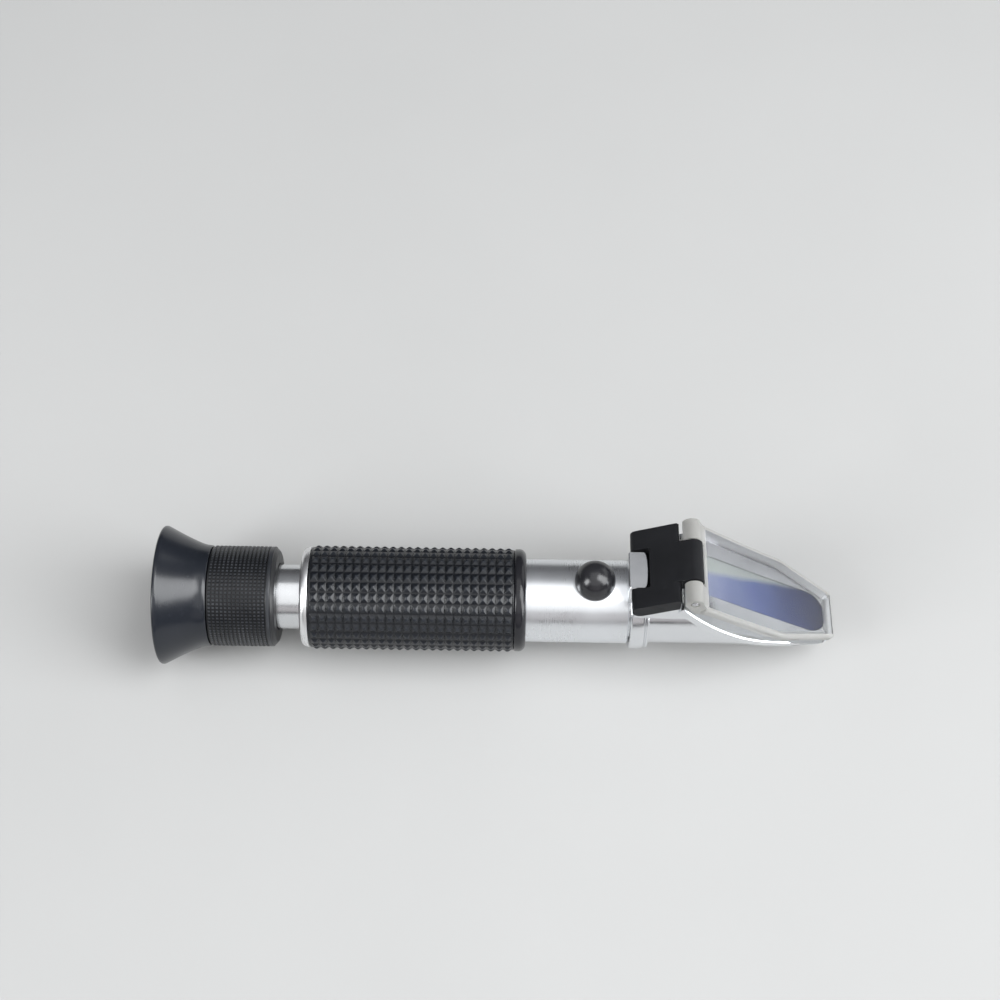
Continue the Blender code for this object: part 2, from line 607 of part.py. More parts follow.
PLATE_HALF_OUTLINE = [        # s, y
    (PLATE_S0, PLATE_HALF - 0.6), (PLATE_S0 + 0.8, PLATE_HALF), (151.6, PLATE_MID_HALF),
    (153.6, PLATE_MID_HALF - 0.4), (165.4, PLATE_TIP_HALF + 0.35),
    (166.3, PLATE_TIP_HALF - 0.55), (166.7, PLATE_TIP_HALF - 1.6)]
plate = add_piece("daylight_plate",
                  extrude_face(mirrored(PLATE_HALF_OUTLINE), GAP, PLATE_TOP),
                  "plate_acrylic", **on_plate_axis)

# the plate is moulded thicker towards its hinge
ROOT_STATIONS = [             # s from the hinge end of the plate, distance off the face
    (0.05, 1.5), (0.05, PLATE_TOP + ROOT_T), (3.5, PLATE_TOP + 0.62 * ROOT_T),
    (8.0, PLATE_TOP + 0.25 * ROOT_T), (14.0, PLATE_TOP - 0.05), (14.0, 1.5)]
join(plate, "plate_root",
     extrude_y([off_face(PLATE_S0 + along, distance) for along, distance in ROOT_STATIONS],
               -ROOT_HALF, ROOT_HALF))

# outer knuckles, either side of the bracket's tab
knuckle_outline = [
    off_face(PLATE_S0 + 0.9, 1.2), off_face(PLATE_S0 - 0.6, 0.9),
    *arc(HINGE_S, HINGE_Z, KNUCKLE_R, 205, 22, 14), off_face(PLATE_S0 + 0.9, 4.2)]
for side, y0, y1 in (("left", KNUCKLE_INNER_Y, KNUCKLE_OUTER_Y),
                     ("right", -KNUCKLE_OUTER_Y, -KNUCKLE_INNER_Y)):
    join(plate, "knuckle_" + side, extrude_y(knuckle_outline, y0, y1))
cut(plate, "plate_pin_hole", hinge_bore())
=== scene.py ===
"""A hand-held prism instrument lying along X: the eyecup at low X, the prism face and
its hinged daylight plate at high X.  The face looks up and slopes down towards +X; the
camera looks down at it from the -Y side.

Shapes are drawn in mm: x runs from the eyecup rim along the optical axis, y runs across
and z is the height above that axis.  Shaders see the same axes in metres.
"""
import json
import math
import bpy
import bmesh
from mathutils import Matrix, Vector


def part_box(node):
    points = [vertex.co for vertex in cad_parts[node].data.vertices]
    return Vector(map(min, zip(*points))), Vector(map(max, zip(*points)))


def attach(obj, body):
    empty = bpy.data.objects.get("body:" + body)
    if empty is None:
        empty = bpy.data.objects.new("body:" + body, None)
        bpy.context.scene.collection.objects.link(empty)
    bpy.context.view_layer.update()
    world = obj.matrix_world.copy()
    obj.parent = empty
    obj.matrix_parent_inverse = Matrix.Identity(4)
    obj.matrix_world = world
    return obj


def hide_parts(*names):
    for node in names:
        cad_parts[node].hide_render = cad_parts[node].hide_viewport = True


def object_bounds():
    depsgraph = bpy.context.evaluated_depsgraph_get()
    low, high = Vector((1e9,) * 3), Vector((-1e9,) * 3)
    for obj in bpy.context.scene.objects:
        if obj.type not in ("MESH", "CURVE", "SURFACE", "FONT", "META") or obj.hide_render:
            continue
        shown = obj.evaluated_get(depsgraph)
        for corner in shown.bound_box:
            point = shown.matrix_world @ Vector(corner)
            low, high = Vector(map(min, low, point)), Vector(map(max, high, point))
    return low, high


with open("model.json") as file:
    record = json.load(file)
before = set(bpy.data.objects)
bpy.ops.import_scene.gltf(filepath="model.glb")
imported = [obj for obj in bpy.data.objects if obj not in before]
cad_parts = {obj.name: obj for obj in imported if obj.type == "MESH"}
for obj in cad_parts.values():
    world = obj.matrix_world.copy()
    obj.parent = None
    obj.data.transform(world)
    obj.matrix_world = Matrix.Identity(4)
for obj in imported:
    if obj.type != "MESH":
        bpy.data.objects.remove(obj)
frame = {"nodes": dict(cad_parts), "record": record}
CAD_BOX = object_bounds()

# ---------------------------------------------------------------- driving dimensions
MM_PER_M = 1000.0
rim_low, rim_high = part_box("eyecup")
RIM_X = rim_low.x
AXIS_Z = 0.5 * (rim_low.z + rim_high.z)

FACE_X, FACE_Z = 130.0, 15.76       # a point on the sloping prism face
FACE_FALL = 0.6494                  # drop per mm of x
TILT = math.atan(FACE_FALL)
NORMAL_X, NORMAL_Z = math.sin(TILT), math.cos(TILT)
DOWN_X, DOWN_Z = math.cos(TILT), -math.sin(TILT)

HINGE_X, HINGE_Z = 130.1, 21.0
GRIP_BORE = 10.65
CAP_X = 107.2
CAP_Z, CAP_RADIUS = 11.1, 5.0       # centre and radius of the dome's ball
PRISM_START = 133.0

# Plan of the daylight plate: (x, half width) at the hinge end, the shoulder and the tip.
PLATE_PLAN = [(130.35, 11.65), (152.6, 10.95), (166.75, 6.2)]


def world_point(x, y, z):
    return Vector((RIM_X + x / MM_PER_M, y / MM_PER_M, AXIS_Z + z / MM_PER_M))


def face_z(x):
    return FACE_Z - FACE_FALL * (x - FACE_X)


def on_face(slope, y, lift):
    """slope mm down the face from FACE_X, y across, lift square to the face."""
    return (FACE_X + DOWN_X * slope + NORMAL_X * lift, y,
            FACE_Z + DOWN_Z * slope + NORMAL_Z * lift)


def above_face(x, lift):
    """(x, z) of the point lifted square off the face at x."""
    return (x + NORMAL_X * lift, face_z(x) + NORMAL_Z * lift)


def slope_at(x):
    return (x - FACE_X) / DOWN_X


# ---------------------------------------------------------------- outlines
def mirror(points):
    """Close a half outline with its reflection in y."""
    return points + [(x, -y) for x, y in reversed(points)]


def arc(centre_x, centre_z, radius, start, end, steps):
    """Points on a circle between two angles in degrees."""
    angles = [math.radians(start + (end - start) * i / steps) for i in range(steps + 1)]
    return [(centre_x + radius * math.cos(a), centre_z + radius * math.sin(a)) for a in angles]


def fillet(outline, radii, steps):
    """Round each corner of a closed outline by its own radius."""
    rounded = []
    for i, radius in enumerate(radii):
        corner = Vector(outline[i])
        back = Vector(outline[i - 1]) - corner
        ahead = Vector(outline[(i + 1) % len(outline)]) - corner
        back_length, ahead_length = back.length, ahead.length
        back.normalize()
        ahead.normalize()
        angle = back.angle(ahead)
        if radius < 1e-4 or angle > math.pi - 0.02:
            rounded.append(tuple(corner))
            continue
        trim = min(radius / math.tan(angle / 2), 0.48 * back_length, 0.48 * ahead_length)
        radius = trim * math.tan(angle / 2)
        centre = corner + (back + ahead).normalized() * (radius / math.sin(angle / 2))
        first = (corner + back * trim) - centre
        last = (corner + ahead * trim) - centre
        sweep = first.angle(last)
        turn = 1 if first.x * last.y - first.y * last.x > 0 else -1
        for k in range(steps + 1):
            a = turn * sweep * k / steps
            rounded.append((centre.x + first.x * math.cos(a) - first.y * math.sin(a),
                            centre.y + first.x * math.sin(a) + first.y * math.cos(a)))
    return rounded


def inset(outline, distance):
    """Move a closed outline inwards."""
    count = len(outline)
    area = sum(outline[i][0] * outline[(i + 1) % count][1]
               - outline[(i + 1) % count][0] * outline[i][1] for i in range(count))
    side = 1.0 if area > 0 else -1.0
    moved = []
    for i in range(count):
        before, here = Vector(outline[i - 1]), Vector(outline[i])
        after = Vector(outline[(i + 1) % count])
        edge_in, edge_out = (here - before).normalized(), (after - here).normalized()
        normal_in = Vector((-edge_in.y, edge_in.x)) * side
        normal_out = Vector((-edge_out.y, edge_out.x)) * side
        bisector = (normal_in + normal_out).normalized()
        reach = distance / max(0.35, bisector.dot(normal_in))
        moved.append((here.x + bisector.x * reach, here.y + bisector.y * reach))
    return moved


def catmull(points, steps):
    """Catmull-Rom curve through the points."""
    curve = []
    last = len(points) - 1
    for i in range(last):
        before = Vector(points[max(0, i - 1)])
        start, end = Vector(points[i]), Vector(points[i + 1])
        after = Vector(points[min(last, i + 2)])
        for k in range(steps):
            u = k / steps
            curve.append(tuple(0.5 * (
                (2 * start) + (end - before) * u
                + (2 * before - 5 * start + 4 * end - after) * u * u
                + (3 * start - before - 3 * end + after) * u ** 3)))
    curve.append(tuple(points[-1]))
    return curve


def slot_outline(start, end, half_width, steps=24):
    """Plan of a slot: square at start, round at end."""
    tip = arc(end - half_width, 0.0, half_width, -90, 90, steps)
    return [(start, -half_width)] + tip + [(start, half_width)]


# ---------------------------------------------------------------- solids, in mm
def lathe(profile, segments=160, axis="X", centre=(0.0, 0.0, 0.0)):
    """Turn a profile of (distance along the axis, radius) about the axis."""
    mesh = bmesh.new()
    order = {"X": (0, 1, 2), "Y": (2, 0, 1), "Z": (1, 2, 0)}[axis]

    def vertex(*local):
        return mesh.verts.new([c + local[k] for c, k in zip(centre, order)])

    rings = []
    for along, radius in profile:
        if radius < 1e-6:
            rings.append([vertex(along, 0.0, 0.0)] * segments)
            continue
        angles = [2 * math.pi * i / segments for i in range(segments)]
        rings.append([vertex(along, radius * math.cos(a), radius * math.sin(a))
                      for a in angles])
    count = len(profile)
    ends_on_axis = profile[0][1] < 1e-6 and profile[-1][1] < 1e-6
    for k in range(count - 1 if ends_on_axis else count):
        ring, following = rings[k], rings[(k + 1) % count]
        for i in range(segments):
            j = (i + 1) % segments
            corners = []
            for vert in (ring[i], ring[j], following[j], following[i]):
                if vert not in corners:
                    corners.append(vert)
            if len(corners) > 2:
                mesh.faces.new(corners)
    return mesh


def rod(radius, low, high, segments, axis="Z", centre=(0.0, 0.0, 0.0)):
    return lathe([(low, 0), (low, radius), (high, radius), (high, 0)], segments, axis, centre)


def extrude(outline, axis, low, high):
    """Solid from an (x, z) outline drawn out along Y, or an (x, y) one along Z."""
    mesh = bmesh.new()
    near, far = [[mesh.verts.new((x, level, w) if axis == "Y" else (x, w, level))
                  for x, w in outline] for level in (low, high)]
    mesh.faces.new(near)
    mesh.faces.new(list(reversed(far)))
    for i in range(len(near)):
        j = (i + 1) % len(near)
        mesh.faces.new((near[i], far[i], far[j], near[j]))
    return mesh


def loft(loops, cap_end=True):
    """Skin through equal-length loops of 3-D points, capped at the first loop."""
    mesh = bmesh.new()
    rows = [[mesh.verts.new(p) for p in loop] for loop in loops]
    for row, following in zip(rows, rows[1:]):
        for i in range(len(row)):
            j = (i + 1) % len(row)
            mesh.faces.new((row[i], row[j], following[j], following[i]))
    mesh.faces.new(list(reversed(rows[0])))
    if cap_end:
        mesh.faces.new(rows[-1])
    return mesh


def cell_sleeve(rows, columns, span, radii, groove, tip, head, tail, phase=0.0):
    """A sleeve with rows of raised square-based cells over the x span.

    radii are (groove floor, cell top); groove and tip are fractions of a cell.  head
    ends at the start of the cells and tail carries on from their end; the two
    (x, radius) profiles meet to close the sleeve round its inside.
    """
    mesh = bmesh.new()
    marks = (groove, 0.5 - tip / 2, 0.5 + tip / 2, 1 - groove)
    angles = [2 * math.pi * (j + q + phase) / columns for j in range(columns) for q in marks]
    count = len(angles)

    def ring(x, four_radii):
        return [mesh.verts.new((x, four_radii[i % 4] * math.cos(a),
                                four_radii[i % 4] * math.sin(a)))
                for i, a in enumerate(angles)]

    low, high = radii
    start, end = span
    pitch = (end - start) / rows
    # Each ring goes with its mark number in the cell, or None outside the cells.
    rings = [(None, ring(x, [radius] * 4)) for x, radius in head]
    for k in range(rows):
        for mark, q in enumerate(marks):
            heights = [low, high, high, low] if mark in (1, 2) else [low] * 4
            rings.append((mark, ring(start + (k + q) * pitch, heights)))
    rings += [(None, ring(x, [radius] * 4)) for x, radius in tail]

    for k, (mark, one) in enumerate(rings):
        two = rings[(k + 1) % len(rings)][1]
        for i in range(count):
            j = (i + 1) % count
            corner = (mark, i % 4)
            # The cells' corners are split in two along their ridges.
            if corner in ((0, 0), (2, 2)):
                mesh.faces.new((one[i], one[j], two[j]))
                mesh.faces.new((one[i], two[j], two[i]))
            elif corner in ((0, 2), (2, 0)):
                mesh.faces.new((one[i], one[j], two[i]))
                mesh.faces.new((one[j], two[j], two[i]))
            else:
                mesh.faces.new((one[i], one[j], two[j], two[i]))
    return mesh


# ---------------------------------------------------------------- objects
WELD = 2e-6     # metres


def new_object(name, mesh):
    for vert in mesh.verts:
        vert.co = world_point(*vert.co)
    bmesh.ops.remove_doubles(mesh, verts=mesh.verts, dist=WELD)
    bmesh.ops.recalc_face_normals(mesh, faces=mesh.faces)
    data = bpy.data.meshes.new(name)
    mesh.to_mesh(data)
    mesh.free()
    piece = bpy.data.objects.new(name, data)
    bpy.context.scene.collection.objects.link(piece)
    return piece


def combine(piece, *steps):
    """Run (operation, solid) booleans in order and keep the result as the mesh."""
    tools = []
    for operation, solid in steps:
        tool = new_object("cutter", solid)
        tools.append(tool)
        modifier = piece.modifiers.new("b", "BOOLEAN")
        modifier.operation = operation
        modifier.object = tool
        modifier.solver = "EXACT"
    graph = bpy.context.evaluated_depsgraph_get()
    graph.update()
    data = bpy.data.meshes.new_from_object(piece.evaluated_get(graph))
    piece.modifiers.clear()
    piece.data = data
    for tool in tools:
        bpy.data.objects.remove(tool)
    mesh = bmesh.new()
    mesh.from_mesh(data)
    bmesh.ops.remove_doubles(mesh, verts=mesh.verts, dist=WELD)
    bmesh.ops.dissolve_degenerate(mesh, edges=mesh.edges, dist=WELD)
    mesh.to_mesh(data)
    mesh.free()


def take_solid(piece):
    """Remove an object and return its mesh in mm, ready to use as a solid."""
    mesh = bmesh.new()
    mesh.from_mesh(piece.data)
    for vert in mesh.verts:
        vert.co = Vector(((vert.co.x - RIM_X) * MM_PER_M, vert.co.y * MM_PER_M,
                          (vert.co.z - AXIS_Z) * MM_PER_M))
    bpy.data.objects.remove(piece)
    return mesh


def round_edges(piece, width, segments, angle):
    """Bevel edges sharper than angle (degrees) by width mm."""
    piece.data.shade_smooth()
    bevel = piece.modifiers.new("edges", "BEVEL")
    bevel.width = width / MM_PER_M
    bevel.segments = segments
    bevel.limit_method = "ANGLE"
    bevel.angle_limit = math.radians(angle)
    bevel.harden_normals = True
    bevel.miter_outer = "MITER_ARC"
    bevel.use_clamp_overlap = True


def smooth(piece, angle):
    """Shade smooth, sharp beyond angle in degrees."""
    piece.data.shade_smooth()
    piece.data.set_sharp_from_angle(angle=math.radians(angle))


def place(piece, body, material, node, slot):
    piece.data.materials.clear()
    piece.data.materials.append(material)
    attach(piece, body)
    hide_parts(node)


def top_holes(centre_span, side_span):
    """The middle hole and the pair beside it, each over a span of z."""
    return [("DIFFERENCE", rod(1.45, *centre_span, 32, centre=(122.8, 0, 0)))] + [
        ("DIFFERENCE", rod(1.1, *side_span, 24, centre=(121.5, y, 0))) for y in (7.1, -7.1)]


def pivot_hole():
    return ("DIFFERENCE", rod(1.15, -12, 12, 48, "Y", (HINGE_X, 0, HINGE_Z)))


# ---------------------------------------------------------------- material tools
class Finish:
    """A Principled material fed by procedural textures in object space."""
    SOCKETS = {"roughness": "Roughness", "metallic": "Metallic", "ior": "IOR",
               "transmission": "Transmission Weight", "coat": "Coat Weight",
               "specular": "Specular IOR Level"}

    def __init__(self, name, **values):
        self.material = bpy.data.materials.new(name)
        self.material.use_nodes = True
        self.tree = self.material.node_tree
        self.shader = self.tree.nodes["Principled BSDF"]
        self.coords = self.node("TexCoord").outputs["Object"]
        for key, value in values.items():
            self.feed(self.shader.inputs[self.SOCKETS[key]], value)

    def node(self, kind):
        return self.tree.nodes.new("ShaderNode" + kind)

    def feed(self, socket, value):
        """Link an output to the socket, or set it to a colour or number."""
        if hasattr(value, "is_output"):
            self.tree.links.new(value, socket)
        else:
            socket.default_value = (*value, 1.0) if isinstance(value, tuple) else value

    def wire(self, colour, roughness=None, normal=None):
        """Connect the finished channels and return the material."""
        for name, output in (("Base Color", colour), ("Roughness", roughness),
                             ("Normal", normal)):
            if output is not None:
                self.feed(self.shader.inputs[name], output)
        return self.material

    def stretched(self, scale):
        mapping = self.node("Mapping")
        mapping.inputs["Scale"].default_value = scale
        self.feed(mapping.inputs["Vector"], self.coords)
        return mapping.outputs["Vector"]

    def noise(self, scale, detail=3.0, roughness=0.55, coords=None):
        texture = self.node("TexNoise")
        texture.inputs["Scale"].default_value = scale
        texture.inputs["Detail"].default_value = detail
        texture.inputs["Roughness"].default_value = roughness
        self.feed(texture.inputs["Vector"], coords or self.coords)
        return texture.outputs["Fac"]

    def ramp(self, factor, stops):
        """Colour ramp through (position, colour) stops."""
        node = self.node("ValToRGB")
        elements = node.color_ramp.elements
        while len(elements) < len(stops):
            elements.new(0.5)
        for element, (position, colour) in zip(elements, stops):
            element.position = position
            element.color = (*colour, 1.0)
        self.feed(node.inputs["Fac"], factor)
        return node.outputs["Color"]

    def remap(self, value, of, to):
        """Map the range of onto the range to."""
        node = self.node("MapRange")
        for i, number in enumerate((*of, *to)):
            node.inputs[i + 1].default_value = number
        self.feed(node.inputs[0], value)
        return node.outputs[0]

    def mix(self, factor, under, over):
        node = self.node("Mix")
        node.data_type = "RGBA"
        self.feed(node.inputs["Factor"], factor)
        self.feed(node.inputs[6], under)
        self.feed(node.inputs[7], over)
        return node.outputs[2]

    def calc(self, operation, first, second=0.0):
        node = self.node("Math")
        node.operation = operation
        self.feed(node.inputs[0], first)
        self.feed(node.inputs[1], second)
        return node.outputs[0]

    def split(self):
        node = self.node("SeparateXYZ")
        self.feed(node.inputs[0], self.coords)
        return node.outputs

    def radius(self):
        """Distance from the optical axis, in mm."""
        place = self.split()
        height = self.calc("SUBTRACT", place["Z"], AXIS_Z)
        squares = self.calc("ADD", self.calc("MULTIPLY", place["Y"], place["Y"]),
                            self.calc("MULTIPLY", height, height))
        return self.calc("MULTIPLY", self.calc("SQRT", squares), MM_PER_M)

    def bump(self, height, strength, depth, under=None):
        """Bump of depth mm, over another normal if one is given."""
        node = self.node("Bump")
        node.inputs["Strength"].default_value = strength
        node.inputs["Distance"].default_value = depth / MM_PER_M
        self.feed(node.inputs["Height"], height)
        if under is not None:
            self.feed(node.inputs["Normal"], under)
        return node.outputs["Normal"]

    def lint(self, colour, amount=0.75):
        """A few tiny pale specks of lint."""
        cells = self.node("TexVoronoi")
        cells.inputs["Scale"].default_value = 420.0
        self.feed(cells.inputs["Vector"], self.coords)
        specks = self.remap(cells.outputs["Distance"], of=(0.0, 0.045), to=(1.0, 0.0))
        patches = self.remap(self.noise(scale=55.0, detail=1.0), of=(0.60, 0.66), to=(0.0, 1.0))
        factor = self.calc("MULTIPLY", self.calc("MULTIPLY", specks, patches), amount)
        return self.mix(factor, colour, over=(0.62, 0.62, 0.60))


def scaled(colour, factor):
    return tuple(c * factor for c in colour)


# ---------------------------------------------------------------- materials
def eyecup_rubber():
    mat = Finish("eyecup_soft_rubber", ior=1.50, specular=0.5)
    colour = mat.ramp(mat.noise(scale=60, detail=4),
                      stops=[(0.3, (0.007, 0.009, 0.013)), (0.7, (0.010, 0.012, 0.017))])
    dust = mat.remap(mat.noise(scale=900, detail=5, roughness=0.7),
                     of=(0.55, 0.80), to=(0.0, 0.25))
    colour = mat.lint(mat.mix(dust, colour, over=(0.040, 0.043, 0.050)))
    return mat.wire(colour,
                    roughness=mat.remap(mat.noise(scale=60), of=(0.2, 0.8), to=(0.21, 0.26)),
                    normal=mat.bump(mat.noise(scale=5200), strength=0.12, depth=0.03))


def grip_rubber():
    """Darker towards the groove floors as painted shade, so paler on the pyramid tips; worn at
    their tops and dusty in the grooves.
    """
    mat = Finish("grip_moulded_rubber", ior=1.50, specular=0.40)
    radius = mat.radius()
    # painted shade: the colour darkens from the pyramid tips down to the groove floors
    tip = mat.remap(radius, of=(12.45, 12.90), to=(0.0, 1.0))
    colour = mat.mix(tip, (0.0035, 0.0042, 0.006), over=(0.008, 0.010, 0.014))
    wear = mat.calc("MULTIPLY", mat.remap(radius, of=(12.80, 12.92), to=(0.0, 1.0)),
                    mat.remap(mat.noise(scale=240, detail=4), of=(0.45, 0.7), to=(0.10, 0.6)))
    colour = mat.mix(wear, colour, over=(0.026, 0.029, 0.036))
    dust = mat.calc("MULTIPLY", mat.remap(radius, of=(12.46, 12.56), to=(1.0, 0.0)),
                    mat.remap(mat.noise(scale=170, detail=5, roughness=0.7),
                              of=(0.5, 0.75), to=(0.0, 0.4)))
    colour = mat.lint(mat.mix(dust, colour, over=(0.020, 0.020, 0.022)))
    return mat.wire(colour,
                    roughness=mat.remap(mat.noise(scale=900, detail=4),
                                        of=(0.3, 0.7), to=(0.24, 0.34)),
                    normal=mat.bump(mat.noise(scale=3800), strength=0.20, depth=0.04))


def knurled_black():
    mat = Finish("focus_ring_knurled_black", specular=0.5)
    radius = mat.radius()
    # painted shade: the colour darkens from the knurl tips down to the groove floors
    tip = mat.remap(radius, of=(12.2, 12.5), to=(0.0, 1.0))
    colour = mat.mix(tip, (0.0035, 0.004, 0.0052), over=(0.009, 0.0105, 0.0135))
    wear = mat.calc("MULTIPLY", mat.remap(radius, of=(12.42, 12.50), to=(0.0, 1.0)),
                    mat.remap(mat.noise(scale=150, detail=4), of=(0.4, 0.7), to=(0.2, 1.0)))
    colour = mat.lint(mat.mix(wear, colour, over=(0.060, 0.064, 0.072)))
    return mat.wire(colour,
                    roughness=mat.remap(mat.noise(scale=600, detail=4),
                                        of=(0.3, 0.7), to=(0.30, 0.42)),
                    normal=mat.bump(mat.noise(scale=5000), strength=0.15, depth=0.03))


def grained_black(name, base, roughness, specular=0.45):
    """Fine-grained black; roughness is its (low, high) range."""
    mat = Finish(name, specular=specular)
    colour = mat.ramp(mat.noise(scale=90, detail=5), stops=[(0.3, base), (0.75, scaled(base, 1.7))])
    scuffs = mat.remap(mat.noise(scale=380, detail=5, roughness=0.65),
                       of=(0.66, 0.80), to=(0.0, 0.30))
    colour = mat.lint(mat.mix(scuffs, colour, over=scaled(base, 4.0)), amount=0.6)
    grain = mat.noise(scale=2600, detail=4, roughness=0.6)
    return mat.wire(colour,
                    roughness=mat.remap(mat.noise(scale=300, detail=5),
                                        of=(0.3, 0.7), to=roughness),
                    normal=mat.bump(grain, strength=0.22, depth=0.05))


def gloss_black():
    mat = Finish("end_ring_gloss_black", ior=1.46, specular=0.45)
    colour = mat.ramp(mat.noise(scale=120, detail=4),
                      stops=[(0.3, (0.008, 0.008, 0.010)), (0.8, (0.014, 0.014, 0.017))])
    return mat.wire(colour,
                    roughness=mat.remap(mat.noise(scale=420, detail=5, roughness=0.7),
                                        of=(0.4, 0.75), to=(0.13, 0.25)),
                    normal=mat.bump(mat.noise(scale=1100), strength=0.05, depth=0.04))


def cap_rubber():
    mat = Finish("cap_gloss_rubber", ior=1.50, specular=0.55)
    colour = mat.ramp(mat.noise(scale=300, detail=4),
                      stops=[(0.3, (0.010, 0.010, 0.012)), (0.8, (0.020, 0.020, 0.023))])
    return mat.wire(colour,
                    roughness=mat.remap(mat.noise(scale=700, detail=5, roughness=0.7),
                                        of=(0.35, 0.75), to=(0.22, 0.27)),
                    normal=mat.bump(mat.noise(scale=2600), strength=0.05, depth=0.02))


def chrome(name, base, roughness, turned, stretch=(1, 0.02, 0.02)):
    """Satin chrome; turned is the strength of its fine marks, stretch their shape."""
    mat = Finish(name, metallic=1.0)
    coords = mat.stretched(stretch)
    fine = mat.noise(scale=9000, detail=4, roughness=0.65, coords=coords)
    coarse = mat.noise(scale=2600, detail=3, roughness=0.6, coords=coords)
    smudge = mat.noise(scale=75, detail=5, roughness=0.6)
    colour = mat.ramp(smudge, stops=[(0.25, scaled(base, 0.93)), (0.7, base)])
    pits = mat.remap(mat.noise(scale=1500, detail=4, roughness=0.7),
                     of=(0.72, 0.84), to=(0.0, 0.10))
    smudged = mat.remap(smudge, of=(0.3, 0.75), to=(roughness * 0.8, roughness * 1.25))
    return mat.wire(
        mat.mix(pits, colour, over=(0.30, 0.30, 0.31)),
        roughness=mat.calc("ADD", smudged, mat.remap(fine, of=(0.3, 0.7), to=(-0.03, 0.05))),
        normal=mat.bump(fine, strength=0.10 * turned, depth=0.03,
                        under=mat.bump(coarse, strength=0.08 * turned, depth=0.05)))


def prism_glass():
    """Blue coating with painted internal reflection: darker down the face, and a pale painted
    reflection on the +Y side.
    """
    mat = Finish("prism_coated_glass_painted_reflection", ior=1.50, specular=0.14)

    def along(start, end, to):
        """Ramp in X between two places in mm."""
        ends = (world_point(start, 0, 0).x, world_point(end, 0, 0).x)
        return mat.remap(mat.split()["X"], of=ends, to=to)

    wobble = mat.remap(mat.noise(scale=60), of=(0.3, 0.7), to=(-0.08, 0.08))
    # painted reflection: the blue darkens along X down the face towards the tip
    colour = mat.ramp(mat.calc("ADD", along(PRISM_START, 165.4, to=(0.0, 1.0)), wobble), stops=[
        (0.0, (0.31, 0.35, 0.52)), (0.40, (0.085, 0.125, 0.320)),
        (0.70, (0.030, 0.050, 0.165)), (1.0, (0.004, 0.008, 0.034))])
    # The border of the pale painted reflection, as a Y in metres.
    border = mat.calc("ADD", along(134, 160, to=(0.0006, 0.0058)),
                      mat.remap(mat.noise(scale=90), of=(0.3, 0.7), to=(-0.0003, 0.0003)))
    pale_reflection_mask = mat.remap(mat.calc("SUBTRACT", mat.split()["Y"], border),
                       of=(-0.0007, 0.0010), to=(0.0, 0.85))
    return mat.wire(mat.mix(pale_reflection_mask, colour, over=(0.52, 0.56, 0.50)),
                    roughness=mat.remap(mat.noise(scale=500, detail=4),
                                        of=(0.4, 0.8), to=(0.04, 0.10)))


def plate_middle():
    """Lightly frosted acrylic, with painted shade making it darker towards +Y."""
    mat = Finish("plate_frosted_acrylic", ior=1.34, transmission=0.982, specular=0.16)
    haze = mat.noise(scale=90, detail=4, roughness=0.6)
    tint = mat.ramp(haze, stops=[(0.3, (0.77, 0.775, 0.785)), (0.7, (0.81, 0.815, 0.82))])
    # painted shade: darkens the plate towards its +Y side
    far = mat.remap(mat.split()["Y"], of=(0.001, 0.009), to=(0.0, 0.75))
    return mat.wire(mat.mix(far, tint, over=(0.54, 0.54, 0.555)),
                    roughness=mat.remap(haze, of=(0.3, 0.7), to=(0.15, 0.18)),
                    normal=mat.bump(mat.noise(scale=3600), strength=0.03, depth=0.02))


def plate_edge():
    mat = Finish("plate_moulded_edge_acrylic", ior=1.36, transmission=0.62, specular=0.30)
    haze = mat.noise(scale=200, detail=4, roughness=0.6)
    tint = mat.ramp(haze, stops=[(0.3, (0.49, 0.486, 0.465)), (0.7, (0.55, 0.546, 0.525))])
    return mat.wire(tint, roughness=mat.remap(haze, of=(0.3, 0.7), to=(0.42, 0.52)),
                    normal=mat.bump(mat.noise(scale=1500), strength=0.03, depth=0.02))


def plate_relief():
    mat = Finish("plate_relieved_edge_acrylic", ior=1.30, transmission=0.80, specular=0.20)
    haze = mat.noise(scale=150, detail=4, roughness=0.6)
    tint = mat.ramp(haze, stops=[(0.3, (0.66, 0.665, 0.665)), (0.7, (0.72, 0.725, 0.72))])
    # painted shade: darkens the relieved edge towards its +Y side
    far = mat.remap(mat.split()["Y"], of=(0.002, 0.009), to=(0.0, 0.85))
    return mat.wire(mat.mix(far, tint, over=(0.38, 0.38, 0.39)),
                    roughness=mat.remap(haze, of=(0.3, 0.7), to=(0.38, 0.46)))


def bare_metal(name, base, roughness):
    mat = Finish(name, metallic=1.0)
    colour = mat.ramp(mat.noise(scale=160, detail=4),
                      stops=[(0.3, scaled(base, 0.85)), (0.7, base)])
    grain = mat.noise(scale=1500, detail=4, roughness=0.6)
    marks = mat.noise(scale=3000, detail=3, roughness=0.6, coords=mat.stretched((1, 0.05, 0.05)))
    return mat.wire(colour,
                    roughness=mat.remap(grain, of=(0.3, 0.7),
                                        to=(roughness * 0.8, roughness * 1.3)),
                    normal=mat.bump(marks, strength=0.12, depth=0.03))


def lens_glass():
    mat = Finish("lens_glass", ior=1.52, transmission=1.0, coat=0.4)
    tint = (0.93, 0.97, 0.96)
    pale = tuple(min(1.0, c) for c in scaled(tint, 1.02))
    return mat.wire(mat.ramp(mat.noise(scale=100, detail=2), stops=[(0.3, tint), (0.7, pale)]),
                    roughness=mat.remap(mat.noise(scale=700, detail=4),
                                        of=(0.5, 0.85), to=(0.005, 0.05)))


